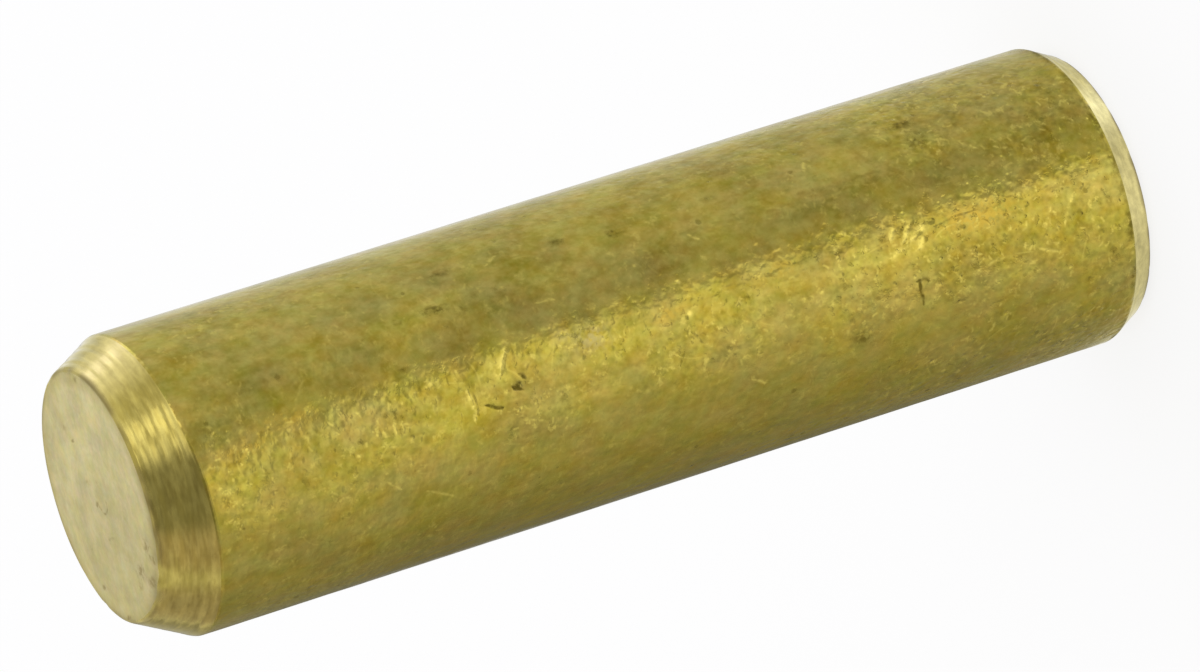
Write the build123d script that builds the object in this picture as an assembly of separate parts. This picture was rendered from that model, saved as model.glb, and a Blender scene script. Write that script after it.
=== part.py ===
from build123d import *
import math
import os

# Shear pin: a plain round pin turned from one length of drawn brass rod.
# It stands on its lower end, with its axis along +Z and its lower face at Z = 0.
# Lengths are in millimetres and angles in degrees.

# The hole that the pin drops into, and the room left around the pin in it
HOLE_DIAMETER = 8.0
DIAMETRAL_CLEARANCE = 0.08

# From one flat end face to the other
PIN_LENGTH = 28.0

# The long lead-in chamfer at the upper end, which finds the hole first
LEAD_CHAMFER_LENGTH = 1.3
LEAD_CHAMFER_ANGLE = 28.0

# The short chamfer at the lower end, which only takes the burr off
TAIL_CHAMFER_LENGTH = 0.7
TAIL_CHAMFER_ANGLE = 28.0

# The worn corners: where a chamfer meets an end face, and where it meets the shank
FACE_CORNER_RADIUS = 0.1
SHANK_CORNER_RADIUS = 0.3


def chamfer_depth(length, angle):
    """How far a chamfer of this length, at this angle to the axis, cuts in towards the axis."""
    return length * math.tan(math.radians(angle))


def sharp_outline():
    """Half of the pin's lengthwise section, from the axis at X = 0 out to the skin, with Y as height."""
    pin_radius = (HOLE_DIAMETER - DIAMETRAL_CLEARANCE) / 2
    tail_face_radius = pin_radius - chamfer_depth(TAIL_CHAMFER_LENGTH, TAIL_CHAMFER_ANGLE)
    lead_face_radius = pin_radius - chamfer_depth(LEAD_CHAMFER_LENGTH, LEAD_CHAMFER_ANGLE)

    corners = Polyline(
        (0, 0),
        (tail_face_radius, 0),
        (pin_radius, TAIL_CHAMFER_LENGTH),
        (pin_radius, PIN_LENGTH - LEAD_CHAMFER_LENGTH),
        (lead_face_radius, PIN_LENGTH),
        (0, PIN_LENGTH),
        close=True,
    )
    return make_face(corners)


def worn_outline():
    """The outline with its four outer corners rounded by handling."""
    outline = sharp_outline()

    # Of the corners at each end's height, the outer one is the rim of the end face
    by_height = outline.vertices().group_by(Axis.Y)
    face_corners = [end.sort_by(Axis.X)[-1] for end in (by_height[0], by_height[-1])]
    outline = fillet(face_corners, FACE_CORNER_RADIUS)

    # The corners that reach farthest out are the two ends of the shank
    shank_corners = outline.vertices().group_by(Axis.X)[-1]
    return fillet(shank_corners, SHANK_CORNER_RADIUS)


def shear_pin():
    """The outline stood upright and turned once round the axis."""
    return revolve(Plane.XZ * worn_outline(), Axis.Z)


os.makedirs("parts", exist_ok=True)
export_step(shear_pin(), "parts/shear_pin.step")
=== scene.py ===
import random
from collections import namedtuple
from math import cos, pi, radians, sin, tan

import bmesh
import bpy
import numpy as np
from mathutils import Matrix, Vector, noise


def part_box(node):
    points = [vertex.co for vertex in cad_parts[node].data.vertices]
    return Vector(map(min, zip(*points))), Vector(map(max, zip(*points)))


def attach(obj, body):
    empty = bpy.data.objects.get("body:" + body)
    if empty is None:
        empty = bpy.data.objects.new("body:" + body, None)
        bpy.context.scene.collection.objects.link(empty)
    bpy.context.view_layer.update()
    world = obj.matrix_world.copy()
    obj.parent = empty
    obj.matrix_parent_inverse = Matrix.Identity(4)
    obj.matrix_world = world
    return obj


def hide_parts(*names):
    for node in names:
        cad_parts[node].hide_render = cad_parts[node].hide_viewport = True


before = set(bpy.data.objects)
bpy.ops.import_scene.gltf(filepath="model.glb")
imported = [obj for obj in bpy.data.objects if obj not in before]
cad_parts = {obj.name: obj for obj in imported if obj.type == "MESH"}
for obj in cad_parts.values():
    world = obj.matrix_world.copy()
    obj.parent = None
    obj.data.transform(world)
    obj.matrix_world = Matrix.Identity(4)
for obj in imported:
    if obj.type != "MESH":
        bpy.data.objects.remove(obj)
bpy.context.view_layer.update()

# ---- Sizes ----
# Lengths are in millimetres and angles in degrees. Blender's own unit is the metre.
# An angle round the pin is 0 at +X, and -90 at -Y, the side that faces the camera.
MM = 0.001
NODE = "shear_pin"

# The pin, as in the CAD part. Its radius and length are read from the frame.
LEAD_CHAMFER_LENGTH = 1.3
TAIL_CHAMFER_LENGTH = 0.7
CHAMFER_ANGLE = 28.0
FACE_CORNER_RADIUS = 0.1
SHANK_CORNER_RADIUS = 0.3

# The long chamfer was cut a little off centre, towards this angle
RUNOUT = 0.095
RUNOUT_ANGLE = 14.0

# How finely the skin is divided, and how far from a mark it is divided once more
COLUMNS = 208
SHANK_ROWS = 204
LEAD_CHAMFER_ROWS = 44
TAIL_CHAMFER_ROWS = 18
CORNER_ROWS = 4
FACE_ROWS = 18
FACE_CROWDING = 1.7
FACE_EYE_RADIUS = 0.06
MARK_CUTS = 3
MARK_MARGIN = 0.14
# How far inside the shank's cylinder its faces' middles, and a divided face's new corners, can lie
MIDDLE_SAG = 0.02
CORNER_SAG = 0.01

# Lumps of the shank's skin: how many to a millimetre on each axis, and how deep
SHANK_LUMPS = [((0.35, 0.35, 0.16), 0.0027), ((1.1, 1.1, 0.8), 0.0026), ((2.3, 2.3, 2.0), 0.0014)]
GLINT_DEPTH = 0.006
# Between these two distances from a corner, the shank's relief grows out of an even depth
EVEN_SPAN = 0.05, 0.45
EVEN_RELIEF = 0.008

# Tool grooves and lumps of the chamfers. The grooves fade out over this share at either side.
WIDE_GROOVE_PITCH = 0.25
WIDE_GROOVE_DEPTH = 0.0095
NARROW_GROOVE_PITCH = 0.155
NARROW_GROOVE_DEPTH = 0.003
GROOVE_DRIFT = 0.05
GROOVE_FADE = 0.2
CHAMFER_LUMP_DEPTH = 0.003

# Turning rings and lumps of the end faces
FACE_RING_DEPTH = 0.0015
FACE_LUMP_DEPTH = 0.006

# How hard the lead face's rim was knocked, at what angle, how far to either side of it and how far
# in over the face, and the depths down the chamfer where the damage begins to fade and is gone
KNOCKED_RIM_DEPTH = 0.12
KNOCKED_RIM_ANGLE = -136.0
KNOCKED_RIM_REACH = 26.0
KNOCKED_RIM_INWARDS = 0.55
KNOCKED_RIM_DOWN = 0.1, 0.55

# A scratch this deep is as dark, or as bright, as one gets
DEEP_DARK_SCRATCH = 0.018
DEEP_LIGHT_SCRATCH = 0.01
# How far the darkening reaches on the rims of the end faces, and the dirt and painted shade on the shank's
# corner at the tail
RIM_DARK_REACH = 0.1
CORNER_DIRT_AND_SHADE_REACH = 0.16
CORNER_DIRT_AND_SHADE_STRENGTH = 0.8

# The camera
CAMERA_DISTANCE = 252.0
CAMERA_ELEVATION = 22.42
CAMERA_ROLL = 107.58
CAMERA_RAISE = 0.138
CAMERA_LENS = 300.0
SENSOR_WIDTH = 36.0
CAMERA_NEAR = 10.0
CAMERA_FAR = 5000.0

# The floor and the light
FLOOR_HALF_WIDTH = 2000.0
FLOOR_PAINT = 0.86
FLOOR_GLOW_SHARE = 0.76
FLOOR_GLOW_SEEN = 1.06
FOOT_GLOW_REACH = 4.4
FAR_GLOW_REACH = 110.0
LAMP_DISTANCE = 400.0

pin_low, pin_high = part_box(NODE)
PIN_RADIUS = (pin_high.x - pin_low.x) / 2 / MM
PIN_LENGTH = (pin_high.z - pin_low.z) / MM
SLOPE = tan(radians(CHAMFER_ANGLE))
FACE_RIM_RADIUS = PIN_RADIUS - LEAD_CHAMFER_LENGTH * SLOPE
TAIL_RIM_RADIUS = PIN_RADIUS - TAIL_CHAMFER_LENGTH * SLOPE
LEAD_CORNER = PIN_LENGTH - LEAD_CHAMFER_LENGTH

# The two ends: which way each faces, its chamfer's rows, the depth of the nicks in its rim, and the
# seeds of its chamfer, its face and its nicks
End = namedtuple("End", "name side chamfer_rows nick_depth chamfer_seed face_seed nick_seed")
ENDS = [
    End("lead", 1.0, LEAD_CHAMFER_ROWS, 0.022, 20, 60, 80),
    End("tail", -1.0, TAIL_CHAMFER_ROWS, 0.014, 40, 70, 90),
]

# The pin's material slots
DRAWN, TURNED, FACED = range(3)


# ---- Marks, listed one by one: angles to the degree, heights to the tenth of a millimetre ----
# Where a scratch's middle is, which way it runs (0 along the pin, 90 round it), its length, width
# and depth, and how far it bows to one side
Scratch = namedtuple("Scratch", "angle height heading length width depth bow", defaults=[0])

DARK_SCRATCHES = [
    # ragged nick: a short deep gouge and a smaller one beside it
    (-96, 18.1, -30, 0.24, 0.11, 0.03), (-97, 18.1, 30, 0.3, 0.06, 0.018),
    (-93, 17.9, 50, 0.22, 0.07, 0.02),
    # dash beside it
    (-101, 18.8, 24, 0.54, 0.07, 0.022),
    # shadowed side of the upright nick, and a fine line above it
    (-98, 19.3, 90, 0.66, 0.034, 0.012, 0.04), (-91, 19.6, 35, 0.34, 0.03, 0.008),
    # crossed pair in the middle
    (-98, 13.3, 75, 0.5, 0.04, 0.011), (-99, 13.1, 60, 0.45, 0.034, 0.01),
    (-105, 13.6, -60, 0.42, 0.045, 0.011),
    # hook
    (-109, 6.8, 88, 0.7, 0.08, 0.018), (-105, 6.7, 15, 0.4, 0.074, 0.015, 0.05),
    # long thin line along the bright band's edge, and a short bent one past its end
    (-86, 5.4, -4, 1.3, 0.034, 0.008, 0.05), (-91, 4.6, 50, 0.32, 0.042, 0.01, 0.04),
    # faint lines near the tail
    (-103, 3.5, 90, 0.3, 0.036, 0.008), (-52, 1.3, 50, 0.6, 0.04, 0.006, 0.03),
    (-119, 1.4, 85, 0.45, 0.04, 0.007), (-118, 13, 88, 0.45, 0.045, 0.006),
]
LIGHT_SCRATCHES = [
    # lit side of the upright nick, and the broad scratch near it
    (-98, 19.4, 88, 0.8, 0.065, 0.01, 0.05), (-87, 18.3, -60, 0.55, 0.095, 0.011),
    # row of ticks
    (-98, 21.8, 80, 0.24, 0.05, 0.007), (-98, 21.5, 86, 0.3, 0.052, 0.008),
    (-98, 21.3, 84, 0.22, 0.048, 0.007), (-110, 21.3, 88, 0.34, 0.046, 0.006),
    # streaks that run down towards the tail
    (-118, 21.8, 42, 0.5, 0.036, 0.006), (-128, 20.5, 30, 1.1, 0.032, 0.005, 0.03),
    (-110, 17.8, 24, 0.7, 0.032, 0.005), (-123, 11.6, 34, 0.46, 0.042, 0.007, 0.03),
    (-108, 3.1, 25, 0.6, 0.042, 0.007),
    # single marks above the bright band
    (-70, 16.6, 6, 0.5, 0.042, 0.007, 0.05), (-46, 17.3, -35, 0.42, 0.046, 0.006, 0.03),
    (-63, 12.2, 45, 0.34, 0.046, 0.007), (-72, 12.2, 62, 0.2, 0.052, 0.007),
    (-48, 8.5, -65, 0.32, 0.055, 0.007), (-74, 23.5, -48, 0.9, 0.03, 0.004, 0.05),
    (-61, 4.2, 40, 0.46, 0.046, 0.007), (-66, 3.4, 28, 0.5, 0.046, 0.007),
    (-62, 3.2, 2, 0.3, 0.046, 0.006),
    # cluster of parallel strokes in the bright band
    (-85, 7.2, -55, 0.3, 0.075, 0.012), (-86, 6.8, -50, 0.48, 0.085, 0.012),
    (-88, 6.6, -20, 0.6, 0.085, 0.012), (-91, 6.5, -50, 0.36, 0.09, 0.012),
    (-92, 7.2, -15, 0.5, 0.06, 0.009),
    # curve and strokes near the tail
    (-95, 2.2, -50, 0.95, 0.052, 0.009, 0.1), (-83, 1.7, 6, 0.4, 0.04, 0.006, 0.04),
    (-101, 5.1, 20, 0.3, 0.036, 0.006), (-106, 4.6, -8, 0.5, 0.036, 0.006, 0.03),
]
# Round dents that are also painted bright, as painted highlights: angle, height, reach and strength
GLINTS = [
    (-78, 13.1, 0.06, 1), (-90, 13.1, 0.07, 1), (-67, 14, 0.05, 0.7), (-103, 22.6, 0.06, 0.8),
    (-98, 10, 0.06, 0.8), (-98, 9.8, 0.05, 0.7), (-97, 9.5, 0.06, 0.8), (-62, 8.1, 0.05, 0.6),
    (-83, 19.8, 0.1, 0.7), (-86, 20.2, 0.15, 0.7), (-97, 18.4, 0.06, 0.8), (-86, 6.4, 0.12, 1),
    (-91, 7.4, 0.05, 0.7), (-80, 18, 0.07, 0.7), (-83, 18.1, 0.08, 0.8), (-90, 18.5, 0.12, 0.5),
    (-101, 1.7, 0.06, 0.7),
]
# The back is as worn as the front: this many scratches of each kind, drawn between these limits
BACK_SCRATCHES = 16
BACK_LIMITS = {
    "angle": (12, 168),
    "height": (1.2, PIN_LENGTH - 2),
    "heading": (-90, 90),
    "length": (0.25, 0.95),
    "bow": (-0.06, 0.06),
    "width": (0.034, 0.065),
    "depth": (0.006, 0.014),
}
# Shallow dents left by other parts in the bin, all over the shank
DENT_COUNT = 260
DENT_LIMITS = {
    "angle": (-180, 180),
    "height": (0.5, PIN_LENGTH - 1),
    "size": (0.18, 0.75),
    "depth": (0.001, 0.005),
}

# Soft patches by the attribute they are painted in: angle, height, reach along the pin, reach
# round it, and strength
PATCHES = {
    "soil_and_shade": [
        (-45, 18.7, 0.3, 0.15, 0.8), (-60, 19.4, 0.5, 0.15, 1), (-60, 20.4, 0.2, 0.15, 0.7),
        (-63, 18.7, 0.2, 0.12, 0.6), (-68, 19.3, 0.12, 0.1, 0.7), (-47, 15.5, 0.3, 0.15, 0.8),
        (-51, 14.1, 0.15, 0.15, 1), (-52, 13.9, 0.3, 0.25, 0.5), (-49, 11.3, 0.3, 0.15, 0.6),
        (-78, 20.8, 0.2, 0.15, 0.8), (-92, 21.4, 0.1, 0.1, 0.8), (-86, 17.5, 0.12, 0.1, 0.9),
        (-42, 5.5, 0.5, 0.2, 0.9), (-51, 5.4, 0.35, 0.5, 0.75), (-100, 5.4, 0.1, 0.08, 0.8),
        (-116, 1.3, 0.12, 0.15, 0.8), (-99, 1.2, 0.1, 0.1, 0.7), (-47, 0.8, 0.12, 0.2, 0.7),
        (-81, 0.8, 0.12, 0.15, 0.8), (-110, 0.8, 0.12, 0.15, 0.8), (-88, 3.2, 0.1, 0.08, 0.6),
        (-120, 2.6, 0.1, 0.1, 0.5), (-119, 8.6, 0.4, 0.25, 0.75), (-114, 7.6, 0.4, 0.3, 0.5),
        (-106, 24.1, 0.3, 0.2, 0.5), (27, 9.4, 0.45, 0.2, 0.8), (61, 19.6, 0.3, 0.22, 0.75),
        (104, 6.2, 0.5, 0.16, 0.85), (118, 15.3, 0.22, 0.4, 0.6), (150, 22.1, 0.36, 0.18, 0.8),
        (168, 11.8, 0.3, 0.2, 0.65),
    ],
    "bloom": [
        (-88, 15.8, 0.5, 0.35, 0.4), (-84, 16.5, 0.3, 0.2, 0.25),
    ],
    # Warmer amber patches along the bright band, which also paint highlights there
    "warmth": [
        (-88, 4.8, 1.3, 0.4, 0.7), (-88, 13.7, 0.5, 0.2, 0.5), (-85, 10.5, 0.7, 0.25, 0.3),
        (-82, 24.1, 0.9, 0.15, 0.55), (-88, 25.3, 0.7, 0.15, 0.5), (-83, 19.8, 0.3, 0.2, 0.35),
        (-110, 8.2, 2.2, 0.8, 0.15), (-100, 16.8, 1.2, 0.6, 0.15),
    ],
}
# Specks and stains on the long chamfer's face: x, y, reach along x, reach along y, strength
FACE_SPOTS = [
    (-0.1, 0.3, 0.1, 0.12, 1), (1.6, 0.6, 0.06, 0.16, 0.7), (2, 0.9, 0.2, 0.26, 0.4),
    (0.5, 0.5, 0.12, 0.26, 0.45), (0.4, -0.1, 0.2, 0.12, 0.4), (-1, 0.1, 0.06, 0.3, 0.55),
    (-1.1, 1.6, 0.06, 0.24, 0.35), (-2.1, 1.7, 0.1, 0.16, 0.85), (-3, 0.6, 0.09, 0.24, 0.9),
    (-2, -1.3, 0.26, 0.42, 0.75), (-2.3, -0.9, 0.16, 0.3, 0.55), (-1.5, -2.2, 0.4, 0.3, 0.65),
    (-2.3, -1.8, 0.2, 0.3, 0.7), (-1.9, -2.4, 0.3, 0.2, 0.7), (-0.6, -1.4, 0.16, 0.16, 0.4),
    (3, -0.9, 0.12, 0.2, 0.55),
]
# The crescent left by the facing tool near the middle: its centre, radius and half width
TOOL_CRESCENT = ((-0.1, -0.1), 0.27, 0.07)


# ---- Arithmetic ----
def smoothstep(low, high, value):
    """0 below low, 1 above high, and a smooth ramp between."""
    t = np.clip((value - low) / (high - low), 0, 1)
    return t * t * (3 - 2 * t)


def bell(value):
    """1 at 0, fading away past 1 on either side."""
    return np.exp(-(value**2))


def noise_at(places, frequency, seed):
    """Smooth noise of about -1 to 1 at each place, with this many lumps per millimetre on each axis."""
    shift = Vector((seed * 17.31, seed * 5.73, seed * 11.97))
    scale = Vector(frequency)
    return np.array([noise.noise(Vector(p) * scale + shift) for p in places])


def unit(vectors):
    """Each row brought to a length of 1."""
    return vectors / np.linalg.norm(vectors, axis=1)[:, None]


def direction(angle, elevation):
    """The unit direction at this angle round the pin and this elevation."""
    a, e = radians(angle), radians(elevation)
    return Vector((cos(a) * cos(e), sin(a) * cos(e), sin(e)))


def round_axis(places):
    """How far each place is from the pin's axis, its angle round the pin and its height."""
    x, y, z = places.T
    return np.hypot(x, y), np.degrees(np.arctan2(y, x)), z


def on_cylinder(angle, height, radius=PIN_RADIUS):
    """The places at these angles and heights, on the shank's true cylinder or another."""
    turn = np.radians(angle)
    return np.stack([radius * np.cos(turn), radius * np.sin(turn), height], axis=1)


def unwrapped(angle, height):
    """A place on the shank laid out flat: millimetres round the pin and along it."""
    return np.stack([np.radians(angle) * PIN_RADIUS, height], axis=-1)


def off_centre(angle):
    """How much further out the long chamfer was cut at this angle."""
    return RUNOUT * np.cos(np.radians(angle - RUNOUT_ANGLE))


def widths_from(scratch, flat):
    """How many widths each flat place lies from a scratch that wavers and tapers to both its ends."""
    heading = radians(scratch.heading)
    ahead = np.array([sin(heading), cos(heading)])
    aside = np.array([cos(heading), -sin(heading)])
    offset = flat - unwrapped(scratch.angle, scratch.height)
    along = offset @ ahead / (scratch.length / 2)
    inside = np.clip(1 - along**2, 0, 1)
    waver = 0.12 * scratch.width * np.sin(4 * along + scratch.angle)
    across = offset @ aside - scratch.bow * inside - waver
    beyond = (np.abs(along) - 1).clip(0) * scratch.length / 2
    taper = 0.25 + 0.75 * np.sqrt(inside)
    return np.hypot(across, beyond) / (scratch.width * taper)


def nearness_to_patch(flat, angle, height, reach_along, reach_round=None):
    """1 at a patch's middle, fading to 0 past its reach. A round patch needs only one reach."""
    offset = (flat - unwrapped(angle, height)) / np.array([reach_round or reach_along, reach_along])
    return np.exp(-(offset**2).sum(axis=1))


def drawn_at_random(limits, count, seed):
    """Marks with random values, drawn in the order of the limits and each between its own two."""
    dice = random.Random(seed)
    return [{name: dice.uniform(*span) for name, span in limits.items()} for _ in range(count)]


def all_scratches(rows, seed):
    """These scratches, and the scattered ones on the back."""
    scattered = drawn_at_random(BACK_LIMITS, BACK_SCRATCHES, seed)
    return [Scratch(*row) for row in rows] + [Scratch(**values) for values in scattered]


ALL_DARK_SCRATCHES = all_scratches(DARK_SCRATCHES, seed=7)
ALL_LIGHT_SCRATCHES = all_scratches(LIGHT_SCRATCHES, seed=8)


# ---- The pin's outline ----
def rounded_corner(before, corner, after, radius):
    """Points of the arc that rounds a corner, for every column at once."""
    towards_before = unit(before - corner)
    towards_after = unit(after - corner)
    half = np.arccos((towards_before * towards_after).sum(axis=1, keepdims=True)) / 2
    centre = corner + unit(towards_before + towards_after) * (radius / np.sin(half))
    first = corner + towards_before * (radius / np.tan(half)) - centre
    last = corner + towards_after * (radius / np.tan(half)) - centre
    sweep = pi - 2 * half
    return [
        centre
        + first * (np.sin((1 - share) * sweep) / np.sin(sweep))
        + last * (np.sin(share * sweep) / np.sin(sweep))
        for share in np.linspace(0, 1, CORNER_ROWS + 1)
    ]


def between(start, end, count, crowding=1):
    """Points between two ends, without the ends themselves. Above 1, they crowd towards the end."""
    shares = [1 - (1 - step / (count + 1)) ** crowding for step in range(1, count + 1)]
    return [start + (end - start) * share for share in shares]


def outline_rings(angles):
    """Every ring's (radius, height) for every column, with the zone that each ring belongs to."""

    def ring(radius, height):
        return np.stack([radius + 0 * angles, height + 0 * angles], axis=1)

    further_out = off_centre(np.degrees(angles))
    corners = [
        ring(FACE_EYE_RADIUS, 0),
        ring(TAIL_RIM_RADIUS, 0),
        ring(PIN_RADIUS, TAIL_CHAMFER_LENGTH),
        ring(PIN_RADIUS, LEAD_CORNER + further_out / SLOPE),
        ring(FACE_RIM_RADIUS + further_out, PIN_LENGTH),
        ring(FACE_EYE_RADIUS, PIN_LENGTH),
    ]
    radii = FACE_CORNER_RADIUS, SHANK_CORNER_RADIUS, SHANK_CORNER_RADIUS, FACE_CORNER_RADIUS
    arcs = [rounded_corner(*corners[i : i + 3], radius) for i, radius in enumerate(radii)]
    tail_rim, tail_corner, lead_corner, lead_rim = arcs
    parts = [
        ("tail face", [corners[0]] + between(corners[0], tail_rim[0], FACE_ROWS, FACE_CROWDING)),
        ("tail corner", tail_rim),
        ("tail chamfer", between(tail_rim[-1], tail_corner[0], TAIL_CHAMFER_ROWS)),
        ("tail shank corner", tail_corner),
        ("shank", between(tail_corner[-1], lead_corner[0], SHANK_ROWS)),
        ("lead shank corner", lead_corner),
        ("lead chamfer", between(lead_corner[-1], lead_rim[0], LEAD_CHAMFER_ROWS)),
        ("lead corner", lead_rim),
        ("lead face", between(corners[-1], lead_rim[-1], FACE_ROWS, FACE_CROWDING)[::-1] + [corners[-1]]),
    ]
    rings = [ring for _, members in parts for ring in members]
    zones = [zone for zone, members in parts for _ in members]
    return rings, zones


def material_of(zone):
    """The slot of the material that a zone is made of."""
    if "shank" in zone:
        return DRAWN
    return FACED if "face" in zone else TURNED


# ---- The pin's relief, as a depth below the true outline ----
def shank_relief(angle, height):
    """How far the shank's skin lies below a true cylinder at each place. Never above it."""
    flat = unwrapped(angle, height)
    places = on_cylinder(angle, height)
    sunk = np.zeros(len(flat))
    for seed, (frequency, depth) in enumerate(SHANK_LUMPS, start=1):
        sunk += depth * (1 + noise_at(places, frequency, seed))
    circumference = 2 * pi * PIN_RADIUS
    for dent in drawn_at_random(DENT_LIMITS, DENT_COUNT, seed=5):
        offset = flat - unwrapped(dent["angle"], dent["height"])
        offset[:, 0] = (offset[:, 0] + circumference / 2) % circumference - circumference / 2
        sunk += dent["depth"] * np.exp(-(offset**2).sum(axis=1) / (dent["size"] / 2) ** 2)
    for scratch in ALL_DARK_SCRATCHES + ALL_LIGHT_SCRATCHES:
        sunk += scratch.depth * bell(widths_from(scratch, flat) * 1.4)
    for *glint, strength in GLINTS:
        sunk += GLINT_DEPTH * strength * nearness_to_patch(flat, *glint)
    return np.maximum(sunk, 0)


def sunk_shank(places):
    """These places set back onto the true cylinder, and sunk by the shank's relief."""
    _, angle, height = round_axis(places)
    # The relief evens out towards both corners, so that their lines run clean
    lead_corner = LEAD_CORNER + off_centre(angle) / SLOPE
    from_corner = np.minimum(height - TAIL_CHAMFER_LENGTH, lead_corner - height)
    unevenness = smoothstep(*EVEN_SPAN, from_corner)
    sunk = EVEN_RELIEF + (shank_relief(angle, height) - EVEN_RELIEF) * unevenness
    return on_cylinder(angle, height, PIN_RADIUS - sunk)


def chamfer_relief(places, seed):
    """Tool grooves round a chamfer. They drift slowly up and down round the pin and come and go."""

    def grooves(pitch):
        return 0.5 + 0.5 * np.sin(2 * pi * height / pitch)

    _, angle, height = round_axis(places)
    height = height + GROOVE_DRIFT * noise_at(places, (0.22, 0.22, 0), seed)
    strength = smoothstep(-0.9, 0.5, noise_at(places, (0.2, 0.2, 1.3), seed + 1))
    lumps = 1 + noise_at(places, (0.9, 0.9, 1.6), seed + 3)
    # The cut is off centre, so the tool bites less on one side
    strength *= 0.2 + 0.8 * smoothstep(-1, 0.1, np.cos(np.radians(angle - RUNOUT_ANGLE)))
    cut = WIDE_GROOVE_DEPTH * grooves(WIDE_GROOVE_PITCH) + NARROW_GROOVE_DEPTH * grooves(NARROW_GROOVE_PITCH)
    return strength * cut + CHAMFER_LUMP_DEPTH * lumps


def face_relief(places, seed):
    """A faced end: faint turning rings and shallow lumps."""
    radius, _, _ = round_axis(places)
    rings = np.stack([radius, 0 * radius, 0 * radius], axis=1)
    flat_places = places * np.array([1, 1, 0])
    sunk = FACE_RING_DEPTH * (1 + noise_at(rings, (3, 1, 1), seed))
    sunk += FACE_LUMP_DEPTH * (1 + noise_at(flat_places, (0.55, 0.55, 1), seed + 1))
    return sunk


def near_knock(angle):
    """1 at the angle where the lead face's rim was knocked hardest, fading away past its reach."""
    return bell((angle - KNOCKED_RIM_ANGLE) / KNOCKED_RIM_REACH)


def knocked_rim(places):
    """The broken stretch of the lead face's rim: worn down and lumpy."""
    radius, angle, height = round_axis(places)
    chipped = smoothstep(-0.5, 0.6, noise_at(places, (1.8, 1.8, 1), seed=66))
    across_face = smoothstep(FACE_RIM_RADIUS - KNOCKED_RIM_INWARDS, FACE_RIM_RADIUS, radius)
    fades_from, gone_at = KNOCKED_RIM_DOWN
    down_chamfer = smoothstep(PIN_LENGTH - gone_at, PIN_LENGTH - fades_from, height)
    return KNOCKED_RIM_DEPTH * near_knock(angle) * (0.25 + 0.75 * chipped) * across_face * down_chamfer


def rim_nicks(angle, seed, depth):
    """Small knocks round a rim."""
    places = on_cylinder(angle, 0 * angle)
    knocks = smoothstep(0.25, 0.7, noise_at(places, (2.2, 2.2, 1), seed))
    lumps = 1 + noise_at(places, (0.7, 0.7, 1), seed + 1)
    return depth * knocks + 0.25 * depth * lumps


# ---- The pin's skin: a lathe outline, slightly off centre on the long chamfer, with real relief ----
def build_pin():
    """The pin's mesh, with its marks painted as vertex attributes."""
    angles = np.radians(np.arange(COLUMNS) * 360 / COLUMNS - 180)
    rings, zones = outline_rings(angles)
    mesh = bmesh.new()
    ring_layer = mesh.verts.layers.int.new("ring")

    def add_vertex(place, ring):
        vertex = mesh.verts.new(place)
        vertex[ring_layer] = ring
        return vertex

    def add_face(corners, zone):
        face = mesh.faces.new(corners)
        face.material_index = material_of(zone)
        face.smooth = True

    grid = []
    for index, (radius, height) in enumerate(ring.T for ring in rings):
        places = np.stack([radius * np.cos(angles), radius * np.sin(angles), height], axis=1)
        grid.append([add_vertex(place, index) for place in places])
    neighbours = [(column, (column + 1) % COLUMNS) for column in range(COLUMNS)]
    for index, (low, high) in enumerate(zip(grid, grid[1:])):
        # The strip past a corner's last ring belongs to the flat or straight part beyond it
        owner = zones[index + 1] if "corner" in zones[index] else zones[index]
        for one, beside in neighbours:
            add_face((low[one], low[beside], high[beside], high[one]), owner)
    for ring, zone in ((0, "tail face"), (len(rings) - 1, "lead face")):
        row = grid[ring]
        hub = add_vertex((0, 0, row[0].co.z), ring)
        for one, beside in neighbours:
            pair = (row[beside], row[one]) if ring == 0 else (row[one], row[beside])
            add_face((*pair, hub), zone)

    divide_near_marks(mesh)
    mesh.verts.index_update()
    shape_skin(mesh, zones, ring_layer)
    mesh.normal_update()

    data = bpy.data.meshes.new("pin_skin")
    mesh.to_mesh(data)
    mesh.free()
    paint_marks(data)
    return data


def divide_near_marks(mesh):
    """Divides the faces near each scratch and glint more finely, so that the mark is real relief."""
    mesh.faces.ensure_lookup_table()
    centres = np.array([face.calc_center_median() for face in mesh.faces])
    radius, angle, height = round_axis(centres)
    flat = unwrapped(angle, height)
    near = np.zeros(len(centres), bool)
    for scratch in ALL_DARK_SCRATCHES + ALL_LIGHT_SCRATCHES:
        near |= widths_from(scratch, flat) * scratch.width < MARK_MARGIN
    for angle_of, height_of, reach, _ in GLINTS:
        near |= nearness_to_patch(flat, angle_of, height_of, 2 * reach) > 0.3
    near &= radius > PIN_RADIUS - MIDDLE_SAG
    chosen = [mesh.faces[index] for index in np.nonzero(near)[0]]
    edges = list(dict.fromkeys(edge for face in chosen for edge in face.edges))
    # A face with one divided edge is split up as well, so that no long thin triangle is left there
    bmesh.ops.subdivide_edges(mesh, edges=edges, cuts=MARK_CUTS, use_grid_fill=True, use_single_edge=True)


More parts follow.
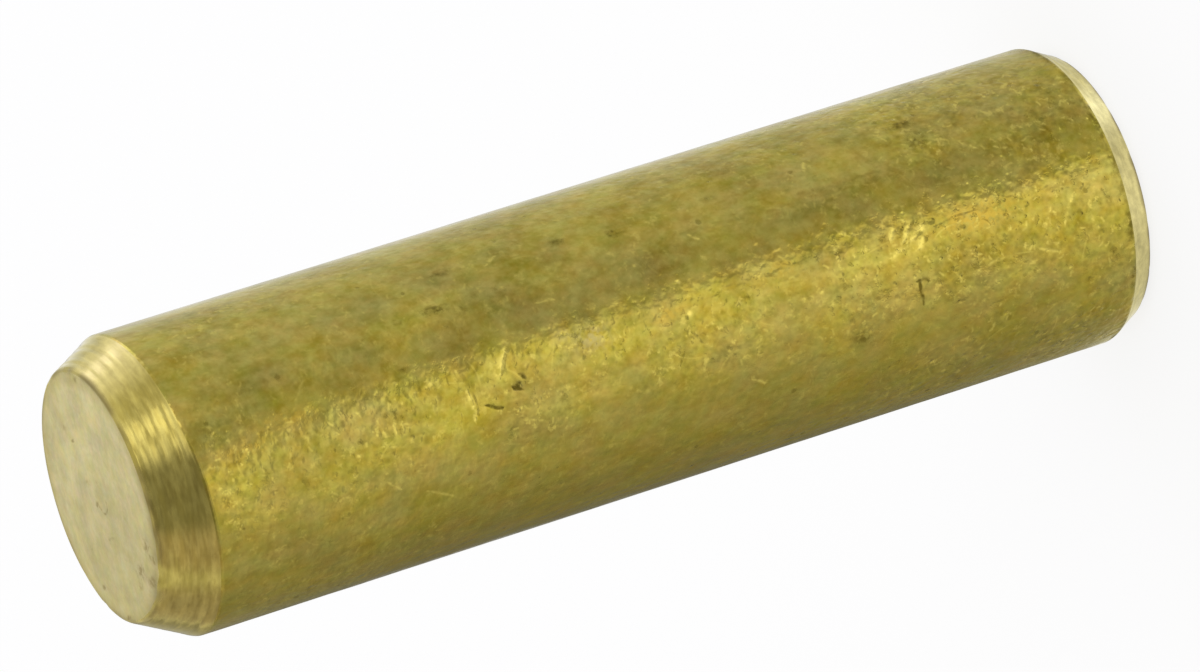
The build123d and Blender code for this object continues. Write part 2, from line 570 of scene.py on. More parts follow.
def shape_skin(mesh, zones, ring_layer):
    """Sinks every vertex below the true outline by its zone's relief."""
    mesh.verts.ensure_lookup_table()
    places = np.array([vertex.co for vertex in mesh.verts])
    ring = np.array([vertex[ring_layer] for vertex in mesh.verts])
    zone = np.array(zones)[ring]
    radius, angle, height = round_axis(places)
    outward = places / radius.clip(1e-9)[:, None]
    outward[:, 2] = 0
    moved = places.copy()

    # A divided face's new corners lie on its flat, so the shank goes back onto its cylinder first
    between_corners = (height > TAIL_CHAMFER_LENGTH) & (height < LEAD_CORNER + 0.25)
    shank = between_corners & (radius > PIN_RADIUS - CORNER_SAG)
    moved[shank] = sunk_shank(places[shank])

    tilt = radians(CHAMFER_ANGLE)
    for end in ENDS:
        here = zone == f"{end.name} chamfer"
        normal = outward[here] * cos(tilt)
        normal[:, 2] = end.side * sin(tilt)
        # The grooves fade out at both corners, so that the rims stay clean
        row = ring[here] - zones.index(f"{end.name} chamfer")
        along = (row + 1) / (end.chamfer_rows + 1)
        fade = smoothstep(0, GROOVE_FADE, along) * smoothstep(1, 1 - GROOVE_FADE, along)
        moved[here] -= normal * (chamfer_relief(places[here], end.chamfer_seed) * fade)[:, None]

        here = zone == f"{end.name} face"
        moved[here, 2] -= end.side * face_relief(places[here], end.face_seed)

        # A nick goes in slantwise, with 0.7 of its depth inwards and as much along the pin
        here = zone == f"{end.name} corner"
        knock = 0.7 * rim_nicks(angle[here], end.nick_seed, end.nick_depth)
        moved[here] -= outward[here] * knock[:, None]
        moved[here, 2] -= end.side * knock

    rim = np.isin(zone, ("lead face", "lead corner", "lead chamfer"))
    moved[rim, 2] -= knocked_rim(places[rim])

    for vertex, place in zip(mesh.verts, moved):
        vertex.co = place * MM


# ---- Marks painted on the skin ----
def rim_darkening(places):
    """Broken darkening on the rims of both end faces, strongest where the long chamfer's rim was knocked."""
    radius, angle, height = round_axis(places)
    knocked = near_knock(angle)
    broken = smoothstep(-0.5, 0.3, noise_at(places, (1.6, 1.6, 1.6), seed=33))
    off_lead_rim = np.hypot(radius - FACE_RIM_RADIUS - off_centre(angle), height - PIN_LENGTH)
    lead_darkening = (0.7 + 0.3 * knocked) * bell(off_lead_rim / (RIM_DARK_REACH * (1 + 0.8 * knocked)))
    off_tail_rim = np.hypot(radius - TAIL_RIM_RADIUS, height)
    tail_darkening = 1.2 * bell(off_tail_rim / RIM_DARK_REACH)
    return broken * (lead_darkening + tail_darkening)


def corner_dirt_and_shade(places):
    """Thin broken dirt on the shank's corner beside the short chamfer, with painted shade that dulls the
    corner's bright line.
    """
    above = places[:, 2] - TAIL_CHAMFER_LENGTH
    broken = smoothstep(-0.6, 0.4, noise_at(places, (1.3, 1.3, 0.6), seed=35))
    return CORNER_DIRT_AND_SHADE_STRENGTH * broken * bell(above / CORNER_DIRT_AND_SHADE_REACH)


def painted_marks(places):
    """Every mark in turn: the attribute that it is painted in, and how strong it is at each place."""
    _, angle, height = round_axis(places)
    flat = unwrapped(angle, height)
    # Dark scratches, darker the deeper they are; the upright nick's shadowed side among them is painted shade
    for scratch in ALL_DARK_SCRATCHES:
        strength = min(1, scratch.depth / DEEP_DARK_SCRATCH)
        yield "soil_and_shade", 1.1 * strength * bell(widths_from(scratch, flat) * 1.2)
    # Light scratches are bright worn metal; the upright nick's lit side among them is a painted highlight
    for scratch in ALL_LIGHT_SCRATCHES:
        strength = min(1, scratch.depth / DEEP_LIGHT_SCRATCH)
        yield "burnish_and_highlight", 1.2 * strength * bell(widths_from(scratch, flat) * 0.9)
    # The glints are painted highlights
    for *glint, strength in GLINTS:
        yield "burnish_and_highlight", 1.5 * strength * nearness_to_patch(flat, *glint)
    for name, patches in PATCHES.items():
        for *patch, strength in patches:
            yield name, strength * nearness_to_patch(flat, *patch)
    yield "soil_and_shade", corner_dirt_and_shade(places)
    yield "rim", rim_darkening(places)


def paint_marks(data):
    """Vertex attributes for the materials: soil and painted shade, burnish and painted highlights, lilac
    bloom, warmth with painted highlights, and a darker rim.
    """
    count = len(data.vertices)
    places = np.zeros(count * 3)
    data.vertices.foreach_get("co", places)
    paints = {name: np.zeros(count) for name in ("soil_and_shade", "burnish_and_highlight", "bloom", "warmth", "rim")}
    for name, shade in painted_marks(places.reshape(-1, 3) / MM):
        paints[name] = np.maximum(paints[name], shade)
    for name, values in paints.items():
        layer = data.attributes.new(name, "FLOAT", "POINT")
        layer.data.foreach_set("value", values.astype(np.float32))


# ---- Node trees ----
def maths(operation):
    """A method that puts a Field, and mostly another number, through a maths node."""
    return lambda field, other=0: field.tree.add("Math", {0: field, 1: other}, operation=operation)


class Field:
    """What a node gives at each place: a number, a vector or a colour. Arithmetic on numbers adds nodes."""

    def __init__(self, tree, socket):
        self.tree = tree
        self.socket = socket

    __add__ = __radd__ = maths("ADD")
    __sub__ = maths("SUBTRACT")
    __mul__ = __rmul__ = maths("MULTIPLY")
    __truediv__ = maths("DIVIDE")
    __abs__ = maths("ABSOLUTE")
    at_least = maths("MAXIMUM")
    at_most = maths("MINIMUM")
    cosine = maths("COSINE")
    sine = maths("SINE")
    arctan2 = maths("ARCTAN2")

    def __rtruediv__(self, other):
        return self.tree.add("Math", {0: other, 1: self}, operation="DIVIDE")

    def beside(self, name):
        """Another output of the same node."""
        return Field(self.tree, self.socket.node.outputs[name])

    def axes(self):
        """The three parts of a vector or a colour."""
        parts = self.tree.add("SeparateXYZ", {0: self})
        return [parts.beside(axis) for axis in "XYZ"]

    def vector(self, operation, *others):
        """Arithmetic on vectors. A length, a distance and a dot product come out as a number."""
        output = "Value" if operation in ("LENGTH", "DISTANCE", "DOT_PRODUCT") else "Vector"
        inputs = dict(enumerate((self, *others)))
        return self.tree.add("VectorMath", inputs, output, operation=operation)

    def scaled(self, factor):
        """This colour made brighter or darker."""
        return self.tree.add("VectorMath", {0: self, "Scale": factor}, operation="SCALE")

    def tint(self, colour, change):
        """A colour with this much of a change added."""
        return self.vector("MULTIPLY_ADD", change, colour)

    def blend(self, first, second):
        """From one colour where this is 0 to another where it is 1."""
        colours = [c if isinstance(c, Field) else (*c, 1) for c in (first, second)]
        # A mix node's two colours are its inputs 6 and 7, and the blended colour is its output 2
        return self.tree.add("Mix", {0: self, 6: colours[0], 7: colours[1]}, 2, data_type="RGBA")

    def ramp(self, low, high, low_result=0, high_result=1):
        """A smooth ramp between two values."""
        inputs = {0: self, 1: low, 2: high, 3: low_result, 4: high_result}
        return self.tree.add("MapRange", inputs, interpolation_type="SMOOTHSTEP")

    def facing(self, aim, even, fade):
        """1 where this direction is within the even angle of an aim, fading to 0 at the fade angle."""
        closeness = self.vector("DOT_PRODUCT", aim)
        return closeness.ramp(cos(radians(fade)), cos(radians(even)))


class Tree:
    """A node tree with short ways to add what the materials and lights below need."""

    def __init__(self, node_tree):
        self.nodes = node_tree.nodes
        self.links = node_tree.links
        self.nodes.clear()

    def add(self, kind, inputs=None, output=0, **settings):
        """Adds a shader node and gives one of its outputs. An input is a number, a colour or a Field."""
        made = self.nodes.new("ShaderNode" + kind)
        for name, value in settings.items():
            setattr(made, name, value)
        for name, value in (inputs or {}).items():
            if isinstance(value, Field):
                self.links.new(value.socket, made.inputs[name])
            else:
                made.inputs[name].default_value = value
        return Field(self, made.outputs[output])

    def close(self, surface, kind="Material"):
        """Ends the tree of a material, a world or a light with this surface."""
        output = self.nodes.new("ShaderNodeOutput" + kind)
        self.links.new(surface.socket, output.inputs["Surface"])

    def metal(self, colour, roughness, height, depth):
        """Ends the tree with bare metal. Its relief, too fine for the mesh, is this deep at a height of 1."""
        normal = self.add("Bump", {"Height": height, "Strength": 1, "Distance": depth * MM})
        surface = {"Base Color": colour, "Metallic": 1, "Roughness": roughness, "Normal": normal}
        self.close(self.add("BsdfPrincipled", surface | {"Specular Tint": EDGE_TINT}))

    def attribute(self, name):
        return self.add("Attribute", output="Fac", attribute_name=name)

    def place(self, across=1, along=1, shift=0):
        """Where the surface is, in millimetres, stretched across and along the pin and then shifted."""
        factors = [factor / MM for factor in (across, across, along)]
        coordinates = self.add("TexCoord", output="Object")
        return coordinates.vector("MULTIPLY_ADD", factors, (shift,) * 3)

    def lumps(self, per_mm, across=1, along=1, shift=0, **texture):
        """Noise from 0 to 1, centred on 0.5. The texture is its detail, roughness and distortion."""
        inputs = {name.title(): value for name, value in texture.items()}
        inputs |= {"Vector": self.place(across, along, shift), "Scale": per_mm}
        return self.add("TexNoise", inputs)

    def near_angle(self, angle, even, fade):
        """1 on the side of the pin at this angle, fading to 0 this many degrees off it."""
        return self.place(along=0).vector("NORMALIZE").facing(direction(angle, 0), even, fade)

    def scatter(self, per_mm, shift=0):
        """Cells at random, about this many to a millimetre: how far off the nearest one's middle is,
        the way from that middle, and three random numbers that belong to the cell."""
        place = self.place(shift=shift)
        distance = self.add("TexVoronoi", {"Vector": place, "Scale": per_mm, "Randomness": 1})
        offset = place.vector("SUBTRACT", distance.beside("Position"))
        return distance, offset, distance.beside("Color").axes()

    def dings(self, per_mm, radius, kept, shift):
        """Round soft-edged dents, at most one to a cell: 1 at the middle of a deep one."""
        distance, _, (depth_chance, size_chance, _) = self.scatter(per_mm, shift)
        reach = size_chance * (0.7 * radius * per_mm) + 0.5 * radius * per_mm
        return (distance / reach).ramp(1, 0) * depth_chance.ramp(1 - kept, 1)

    def strokes(self, per_mm, half_length, half_width, kept, shift):
        """Short bowed scratches, at most one to a cell, each in a direction of its own."""
        _, offset, (kept_chance, turn_chance, bow_chance) = self.scatter(per_mm, shift)
        round_pin = self.place().vector("CROSS_PRODUCT", (0, 0, -1)).vector("NORMALIZE")
        sideways = offset.vector("DOT_PRODUCT", round_pin)
        lengthways = offset.axes()[2]
        turn = turn_chance * pi
        along = sideways * turn.cosine() + lengthways * turn.sine()
        across = lengthways * turn.cosine() - sideways * turn.sine()
        across = along * along * (bow_chance - 0.5) * (0.7 / half_length) + across
        in_length = abs(along).ramp(half_length, half_length * 0.4)
        in_width = abs(across).ramp(half_width, half_width * 0.2)
        return in_length * in_width * kept_chance.ramp(1 - kept, 1 - kept * 0.7)


def new_material(name):
    material = bpy.data.materials.new(name)
    material.use_nodes = True
    return material, Tree(material.node_tree)


# ---- Materials ----
HANDLED_BRASS = (0.352, 0.284, 0.0535)
CUT_BRASS = (0.4, 0.32, 0.072)
PALE_CUT_BRASS = (0.5, 0.41, 0.105)
DULL_CUT_BRASS = (0.32, 0.245, 0.052)
TAIL_CUT_BRASS = (0.6, 0.53, 0.245)
# The paler colour of the long chamfer's painted highlight
HIGHLIGHT_CUT_BRASS = (0.445, 0.385, 0.162)
SOOT = (0.09, 0.067, 0.006)
RIM_DARK = (0.175, 0.135, 0.065)
FRESH_CUT = (0.7, 0.575, 0.13)
# The warm patches' amber, brighter than the brass: a warmer tint and a painted highlight
AMBER = (0.48, 0.325, 0.045)
LILAC_GREY = (0.4, 0.355, 0.18)
FACED_BRASS = (0.56, 0.493, 0.262)
FACE_STAIN = (0.275, 0.21, 0.075)
# How the metal looks edge on
EDGE_TINT = (1, 0.98, 0.8, 1)
# What a warmer or greyer patch adds to the colour at full strength
WARMER = (0.03, -0.013, -0.004)
GREYER = (0.006, 0.006, 0.034)
FACE_WARMER = (0.03, -0.012, 0.006)
FACE_GREYER = (0.01, 0.01, 0.055)
# What a fleck of sheen adds. It is greyer than the brass, so that fine flecks keep the hue calm.
SHEEN = (0.36, 0.32, 0.12)
# How deep the finest relief of each material is, and how worn the shank gets
DRAWN_BUMP_DEPTH = 0.014
TURNED_BUMP_DEPTH = 0.005
FACED_BUMP_DEPTH = 0.01
MOST_WEAR = 2.4


def shank_wear_and_sparkle(tree, height_up):
    """How worn the shank is, with painted sparkle on the lit side. The tail end is worn most, the lead end a
    little more than the middle.
    """
    worn_lead = height_up.ramp(PIN_LENGTH * 0.72, PIN_LENGTH * 0.92, 0, 0.25)
    worn_tail = height_up.ramp(PIN_LENGTH * 0.42, PIN_LENGTH * 0.06, 0.8, 1.9)
    bunched = tree.lumps(0.55, shift=30, detail=1).ramp(0.3, 0.7, 0.55, 1.45)
    # More painted glints and dark specks, and more dents under them, on the side where the bright band of
    # light falls
    lit_side_sparkle = tree.near_angle(-97, 8, 24) * 0.9 + 1
    wear_and_sparkle = ((worn_lead + worn_tail) * bunched * lit_side_sparkle).at_most(MOST_WEAR)
    return wear_and_sparkle * height_up.ramp(LEAD_CORNER - 0.5, LEAD_CORNER - 0.1, 1, 0.25)


def handled_colour(tree, tone, streaks, wear_and_sparkle):
    """The shank's own colour, before its marks: mottled in brightness, hue and sheen."""
    sheen = tree.lumps(3, along=0.85, shift=20, roughness=0.7)
    hue = tree.lumps(1.7, along=0.8, shift=40, roughness=0.75)
    grey = tree.lumps(0.9, along=0.7, shift=80, detail=1, roughness=0.6)
    grain = tree.lumps(5.6, shift=90, detail=1).ramp(0.25, 0.75, -1, 1)
    # The side away from the bright one is smoother
    calm = tree.near_angle(-138, 14, 44) * -0.45 + 1
    brightness = tone.ramp(0.25, 0.75, -0.16, 0.16) * calm + streaks.ramp(0.25, 0.75, 0.97, 1.03)
    brightness = brightness + grain * wear_and_sparkle.ramp(0.8, MOST_WEAR, 0.01, 0.15)
    colour = hue.ramp(0.2, 0.8, -0.72, 0.72).tint(HANDLED_BRASS, WARMER)
    colour = grey.ramp(0.2, 0.8, -0.45, 0.45).tint(colour, GREYER)
    return (sheen.ramp(0.2, 0.8, -0.17, 0.17) * calm).tint(colour.scaled(brightness), SHEEN)


def drawn_brass(tree):
    """The shank: drawn rod gone olive with handling, with fine pits, knocks and the painted marks."""
    height_up = tree.place().axes()[2]
    tone = tree.lumps(0.75, along=0.75, roughness=0.65)
    waves = tree.lumps(2.2, detail=1, roughness=0.6, distortion=0.3)
    crumple = tree.lumps(4.2, shift=60, detail=1, distortion=0.3)
    speckle = tree.lumps(6.5, roughness=0.55)
    streaks = tree.lumps(6, along=0.06)
    wear_and_sparkle = shank_wear_and_sparkle(tree, height_up)
    colour = handled_colour(tree, tone, streaks, wear_and_sparkle)

    # Pits: a scatter of tiny dark spots, only some of them deep
    distance, _, (size_chance, _, _) = tree.scatter(1.9)
    pit_size = size_chance.ramp(0.45, 1, 0.1, 0.32)
    pits = (pit_size - (distance + speckle * 0.25)).ramp(0, 0.12)
    pricks = tree.dings(3.4, 0.055, 0.45, 71)
    # Soft round dents from other metal, and a few short scratches
    big_dings = tree.dings(1.9, 0.19, 0.8, 11)
    small_dings = tree.dings(3.2, 0.115, 0.8, 23)
    # The glints are dents that are also painted bright: painted highlights
    glints = tree.dings(3.3, 0.075, 0.45, 91)
    flecks = tree.strokes(1.9, 0.12, 0.045, 0.3, 3)
    long_scratches = tree.strokes(0.75, 0.5, 0.04, 0.5, 57)
    # Ragged little islands, painted bright as highlights or dark as shade, as on a hammered skin. The dark
    # ones are dents too.
    highlit_islands = tree.lumps(3.8, shift=50, detail=3, roughness=0.62).ramp(0.56, 0.72)
    shaded_islands = tree.lumps(3.8, shift=70, detail=3, roughness=0.62).ramp(0.44, 0.28)

    clots = speckle.ramp(0.36, 0.64, 0.65, 1.2)
    specks = (pricks * 0.27).at_least(shaded_islands * 0.11) * wear_and_sparkle
    soil_and_shade = (tree.attribute("soil_and_shade") * clots).ramp(0.18, 1.1).at_least(pits * 0.5).at_least(specks)
    broken = speckle.ramp(0.34, 0.6, 0.2, 1.2)
    # Painted highlights and bright wear: glints, bright flecks, bright islands and a share of the long
    # scratches
    glints_and_bright_wear = glints.at_least(flecks * 0.7).at_least(highlit_islands).at_least(long_scratches * 0.4)
    burnish_and_highlight = (tree.attribute("burnish_and_highlight") * broken).at_least(glints_and_bright_wear * wear_and_sparkle * 0.38)

    # Amber patches: a warmer tint, and painted highlights along the bright band
    colour = (tree.attribute("warmth") * broken).blend(colour, AMBER)
    colour = (tree.attribute("bloom") * broken).blend(colour, LILAC_GREY)
    colour = (burnish_and_highlight * 0.65).blend(colour, FRESH_CUT)
    colour = (soil_and_shade * 0.82).blend(colour, SOOT)
    roughness = tone.ramp(0.3, 0.7, 0.24, 0.18) + soil_and_shade * 0.25

    dents = (small_dings * 0.7 + glints * 0.4 + shaded_islands * 0.28) * wear_and_sparkle
    height = speckle * 0.22 + waves * 2 + crumple * 1.5 + streaks * 0.06
    height = height - pits * 0.4 - big_dings * 0.9 - dents
    # The lead end is smoother than the tail end, and so is one side
    rough_end = height_up.ramp(PIN_LENGTH * 0.98, PIN_LENGTH * 0.02, 0.7, 1.24)
    rough_side = tree.near_angle(-6, 12, 34) * -0.45 + 1
    tree.metal(colour, roughness, height * rough_end * rough_side, DRAWN_BUMP_DEPTH)


def turned_brass(tree):
    """The chamfers: freshly cut, paler metal with fine tool lines round the pin, and a painted highlight on
    the long chamfer.
    """
    lines = tree.lumps(9, across=0.05)
    dashes = tree.lumps(7, across=0.22)
    mottle = tree.lumps(3, across=0.6, roughness=0.6)
    speckle = tree.lumps(6, across=0.22, detail=3, roughness=0.6)
    near_tail = tree.place().axes()[2].ramp(PIN_LENGTH * 0.6, PIN_LENGTH * 0.4)
    scuffs = tree.lumps(5, roughness=0.6).ramp(0.3, 0.7, -0.12, 0.12) * near_tail
    # A paler patch on the long chamfer's side at -20, where the bright softboxes fall: a painted highlight,
    # kept off the short chamfer
    painted_highlight = tree.near_angle(-20, 12, 36) - near_tail
    rim = tree.attribute("rim")

    colour = dashes.ramp(0.35, 0.65).blend(CUT_BRASS, PALE_CUT_BRASS)
    colour = speckle.ramp(0.5, 0.72, 0, 0.6).blend(colour, DULL_CUT_BRASS)
    colour = (near_tail * 0.8).blend(colour, TAIL_CUT_BRASS)
    colour = (painted_highlight * 0.45).blend(colour, HIGHLIGHT_CUT_BRASS)
    brightness = mottle.ramp(0.25, 0.75, 0.9, 1.1) * lines.ramp(0.3, 0.7, 0.92, 1.08) + scuffs
    colour = rim.blend(colour.scaled(brightness), RIM_DARK)
    roughness = dashes.ramp(0.3, 0.7, 0.13, 0.22) + rim * 0.3

    calm = tree.near_angle(-138, 20, 44) * -0.7 + 1.1
    tree.metal(colour, roughness, lines * 0.35 + dashes * 0.7 + mottle * calm, TURNED_BUMP_DEPTH)


def face_stains(tree, speckle, across):
    """The stains, specks and tool crescent of the long chamfer's face, broken up by the speckle."""
    (x, y), crescent_radius, half_width = TOOL_CRESCENT
    place = tree.place()
    from_crescent = place.vector("DISTANCE", (x, y, PIN_LENGTH))
    crescent = abs(from_crescent - crescent_radius).ramp(half_width, 0) * across.ramp(0.1, -0.2)
    stains = crescent * 0.7
    for x, y, reach_x, reach_y, strength in FACE_SPOTS:
        offset = place.vector("SUBTRACT", (x, y, PIN_LENGTH))
        in_reaches = offset.vector("MULTIPLY", (1 / (reach_x * 1.5), 1 / (reach_y * 1.5), 1))
        spot = in_reaches.vector("LENGTH").ramp(1, 0)
        stains = stains.at_least(spot * strength)
    stains = (stains * speckle.ramp(0.36, 0.64, 0.4, 1.3)).ramp(0.08, 0.85)
    return stains.at_least(tree.dings(2.2, 0.09, 0.5, 5) * 0.22)


def faced_brass(tree):
    """The end faces: satin and pale, with faint turning rings, stains and specks."""
    across = tree.place().axes()[0]
    radius = tree.place(along=0).vector("LENGTH")
    wobbly_radius = tree.lumps(0.8, along=0) * 0.5 + radius
    turning = {"W": wobbly_radius, "Scale": 5, "Detail": 3}
    rings = tree.add("TexNoise", turning, noise_dimensions="1D")
    tone = tree.lumps(1.1, detail=4, roughness=0.7)
    hue = tree.lumps(2.4, shift=40, detail=3, roughness=0.75)
    grey = tree.lumps(1.7, shift=80, detail=3, roughness=0.7)
    speckle = tree.lumps(6, detail=3, roughness=0.65)
    stains = face_stains(tree, speckle, across)

    brightness = tone.ramp(0.25, 0.75, 0.84, 1.16) * rings.ramp(0.25, 0.75, 0.975, 1.025)
    # Lighter towards +x and darker towards -x: painted light across the face
    brightness = brightness * across.ramp(-3, 3, 0.94, 1.05) * speckle.ramp(0.3, 0.7, 0.95, 1.05)
    colour = hue.ramp(0.25, 0.75, -0.8, 0.8).tint(FACED_BRASS, FACE_WARMER)
    colour = grey.ramp(0.25, 0.75, -0.7, 0.7).tint(colour, FACE_GREYER).scaled(brightness)
    # More golden on one side and towards the rim
    colour = across.ramp(2.5, -3, 0, 0.16).blend(colour, CUT_BRASS)
    colour = radius.ramp(FACE_RIM_RADIUS - 0.55, FACE_RIM_RADIUS, 0, 0.3).blend(colour, CUT_BRASS)
    colour = (stains * 0.75).blend(colour, FACE_STAIN)
    colour = tree.attribute("rim").blend(colour, RIM_DARK)

    roughness = speckle.ramp(0.3, 0.7, 0.4, 0.5)
    tree.metal(colour, roughness, speckle + rings * 0.3 + tone * 2 - stains, FACED_BUMP_DEPTH)


# ---- Studio: a white floor that glows, an even sky and four softboxes ----
# The floor's glow as the metal shows it, by angle round the pin: brightness, and warmth of its tint
FLOOR_GLOW = [
    (-180, 0.58, 0.2), (-150, 0.8, 0.15), (-130, 1.04, 0.2), (-108, 1.42, 0.25), (-92, 1.74, 0.2),
    (-79, 1.78, 0.1), (-69, 0.74, 0), (-42, 0.73, 0), (-30, 0.97, -0.1), (-18, 0.92, -0.2),
    (20, 0.98, -0.25), (40, 1.03, -0.3), (60, 1.01, -0.35), (84, 1.07, -0.45), (98, 0.98, -0.4),
    (109, 0.05, 1.2), (120, 0.09, 1.2), (140, 0.28, 0.9), (160, 0.42, 0.5), (180, 0.58, 0.2),
]
# The same close to the pin's foot, and far from it
FOOT_GLOW = [
    (-180, 1, 0), (-137, 1, 0), (-119, 1.12, 0), (-103, 1.42, 0), (-78, 1.1, 0),
    (-70, 1.24, -0.2), (-57, 2, -0.5), (-42, 1.1, 0), (-22, 0.94, 0), (-4, 0.62, -0.3),
    (40, 1, 0), (180, 1, 0),
]
FAR_GLOW = [
    (-180, 0.8, 0), (-60, 0.9, 0), (0, 1, 0), (40, 1.1, -0.5), (75, 1.2, -0.5),
    (100, 0.46, 0.3), (125, 0.36, 0.3), (150, 0.42, 0.3), (180, 0.8, 0),
]
GLOW_TOP = 2
# The glow's pattern swings round by this much over this span of distances from the axis, which is
# the floor that the top of the pin shows
GLOW_SWING = 22
GLOW_SWING_SPAN = 54, 78
# It leans by this much one millimetre from the axis, and less in proportion further out, so that
# the bright band runs straight down the pin
GLOW_LEAN = 31.6


def add_object(name, data):
    """A new object in the scene."""
    added = bpy.data.objects.new(name, data)
    bpy.context.scene.collection.objects.link(added)
    return added


def glow_by_angle(tree, share, stops):
    """A ramp of the floor's glow, where share runs from 0 to 1 as the angle runs from -180 to 180."""
    glow = tree.add("ValToRGB", {"Fac": share})
    elements = glow.socket.node.color_ramp.elements
    while len(elements) > 1:
        elements.remove(elements[-1])
    for index, (degrees, level, warmth) in enumerate(stops):
        position = (degrees + 180) / 360
        element = elements[0] if index == 0 else elements.new(position)
        element.position = position
        shade = level / GLOW_TOP
        element.color = (shade, shade * (1 - 0.08 * warmth), shade * (1 - 0.5 * warmth), 1)
    return glow


def make_floor():
    """A white floor. To the camera it glows evenly and keeps the pin's soft shadow. In the metal its
    glow is a pattern by angle round the pin, with patterns of its own close to the foot and far off."""
    data = bpy.data.meshes.new("floor")
    w = FLOOR_HALF_WIDTH * MM
    data.from_pydata([(-w, -w, 0), (w, -w, 0), (w, w, 0), (-w, w, 0)], [], [(0, 1, 2, 3)])
    floor = add_object("floor", data)
    material, tree = new_material("floor_white")
    place = tree.place()
    x, y, _ = place.axes()
    share = y.arctan2(x) * (0.5 / pi) + 0.5
    from_axis = place.vector("LENGTH")
    swing = from_axis.ramp(*GLOW_SWING_SPAN, 0, GLOW_SWING / 360)
    lean = (GLOW_LEAN / 360) / from_axis
    at_foot = from_axis.ramp(FOOT_GLOW_REACH * 1.25, FOOT_GLOW_REACH)
    far = from_axis.ramp(FAR_GLOW_REACH * 0.75, FAR_GLOW_REACH)
    in_metal = glow_by_angle(tree, share + (swing + lean), FLOOR_GLOW)
    in_metal = at_foot.blend(in_metal, glow_by_angle(tree, share, FOOT_GLOW))
    in_metal = far.blend(in_metal, glow_by_angle(tree, share, FAR_GLOW)).scaled(GLOW_TOP)

    by_camera = tree.add("LightPath", output="Is Camera Ray")
    seen = by_camera.at_least(by_camera.beside("Is Glossy Ray"))
    seen = seen.at_least(by_camera.beside("Is Transmission Ray"))
    shade = by_camera.blend(in_metal, (FLOOR_GLOW_SEEN,) * 3)
    glow = tree.add("Emission", {"Color": shade, "Strength": 1})
    paint = tree.add("BsdfDiffuse", {"Color": (FLOOR_PAINT,) * 3 + (1,)})
    tree.close(tree.add("MixShader", {0: seen * FLOOR_GLOW_SHARE, 1: paint, 2: glow}))
    material.cycles.emission_sampling = "NONE"
    data.materials.append(material)


# Sky patches: angle, elevation, reach of the even part, reach of the fade, colour. Three are darker
# than the sky, the first two of them reddish, and the last is a little brighter.
SKY_LIGHT = (0.95, 0.95, 0.95)
SKY_PATCHES = [
    (-150, 28, 14, 30, (0.7, 0.63, 0.66)),
    (150, 6, 10, 32, (0.61, 0.56, 0.62)),
    (-106, 36, 20, 36, (0.4, 0.4, 0.4)),
    (90, 22, 20, 34, (1, 1, 1)),
]
# The sky turns white between these two elevations, and stays white down to the floor
HORIZON_SPAN = 1.5, 0.5


def make_sky():
    """An even pale sky with its patches, and white along the horizon."""
    world = bpy.data.worlds.new("studio")
    bpy.context.scene.world = world
    world.use_nodes = True
    tree = Tree(world.node_tree)
    towards = tree.add("TexCoord", output="Generated")
    light = SKY_LIGHT
    for angle, elevation, even, fade, patch_light in SKY_PATCHES:
        light = towards.facing(direction(angle, elevation), even, fade).blend(light, patch_light)
    horizon = [sin(radians(elevation)) for elevation in HORIZON_SPAN]
    light = towards.axes()[2].ramp(*horizon).blend(light, (1, 1, 1))
    background = tree.add("Background", {"Color": light, "Strength": 1})
    tree.close(background, "World")


# Softboxes: name, angle, elevation, width and height as seen from the pin, brightness, how much of
# the way from the rim to the middle it fades over, and how cool its light is
SOFTBOXES = [
    ("softbox_right", 22, 11, 74, 72, 0.85, 1, 0.35),
    ("softbox_right_heart", 27, 9, 28, 26, 0.78, 1, 1.1),
    ("softbox_front", -47, 31, 22, 17, 1.15, 0.4, 0.15),
    ("softbox_top", -68, 41, 28, 16, 1, 0.85, 0.15),
]
# A lamp's red and green, and the blue that its coolness is added to
LAMP_RED, LAMP_GREEN, LAMP_BLUE = 0.97, 0.98, 1


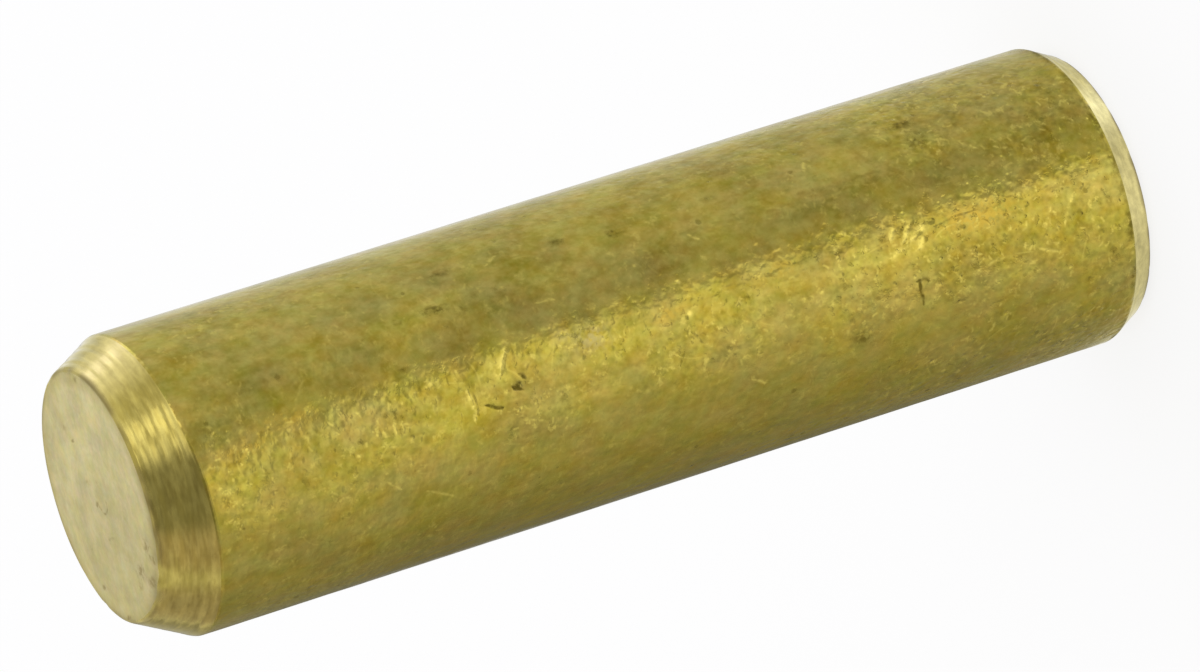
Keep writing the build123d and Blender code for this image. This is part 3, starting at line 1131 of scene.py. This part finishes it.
def make_softboxes(centre):
    """Rectangular lamps that all face the pin, brightest in the middle. 1 is white in a mirror."""
    for name, angle, elevation, wide, tall, brightness, fading, cool in SOFTBOXES:
        away = direction(angle, elevation)
        width, height = [2 * LAMP_DISTANCE * MM * tan(radians(seen / 2)) for seen in (wide, tall)]
        lamp = bpy.data.lights.new(name, "AREA")
        lamp.shape = "RECTANGLE"
        lamp.size = width
        lamp.size_y = height
        lamp.energy = brightness * pi * width * height
        lamp.use_nodes = True
        tree = Tree(lamp.node_tree)
        where = tree.add("NewGeometry", output="Parametric")
        level = where.vector("DISTANCE", (0.5, 0.5, 0)).ramp(0.5, 0.5 * (1 - fading))
        tint = (LAMP_RED, LAMP_GREEN, LAMP_BLUE + cool, 1)
        glow = tree.add("Emission", {"Color": tint, "Strength": level})
        tree.close(glow, "Light")
        box = add_object(name, lamp)
        box.location = centre + away * LAMP_DISTANCE * MM
        box.rotation_mode = "QUATERNION"
        box.rotation_quaternion = away.to_track_quat("Z", "Y")
        box.visible_camera = False


def make_camera(centre):
    """Looks down on the standing pin, rolled so that the pin lies across the picture."""
    lens = bpy.data.cameras.new("camera")
    lens.lens = CAMERA_LENS
    lens.sensor_width = SENSOR_WIDTH
    lens.clip_start = CAMERA_NEAR * MM
    lens.clip_end = CAMERA_FAR * MM
    camera = add_object("camera", lens)
    tilt = Matrix.Rotation(radians(90 - CAMERA_ELEVATION), 4, "X")
    roll = Matrix.Rotation(radians(-CAMERA_ROLL), 4, "Z")
    step_back = Matrix.Translation((0, CAMERA_RAISE * MM, CAMERA_DISTANCE * MM))
    camera.matrix_world = Matrix.Translation(centre) @ tilt @ roll @ step_back
    bpy.context.scene.camera = camera


# ---- Putting it together ----
centre = (pin_low + pin_high) / 2
make_camera(centre)
make_floor()
make_sky()
make_softboxes(centre)

skin = build_pin()
# In the order of the material slots
for fill in (drawn_brass, turned_brass, faced_brass):
    material, tree = new_material(fill.__name__)
    fill(tree)
    skin.materials.append(material)
pin = add_object("pin", skin)
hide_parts(NODE)
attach(pin, "root")

bpy.context.scene.view_settings.view_transform = "Standard"
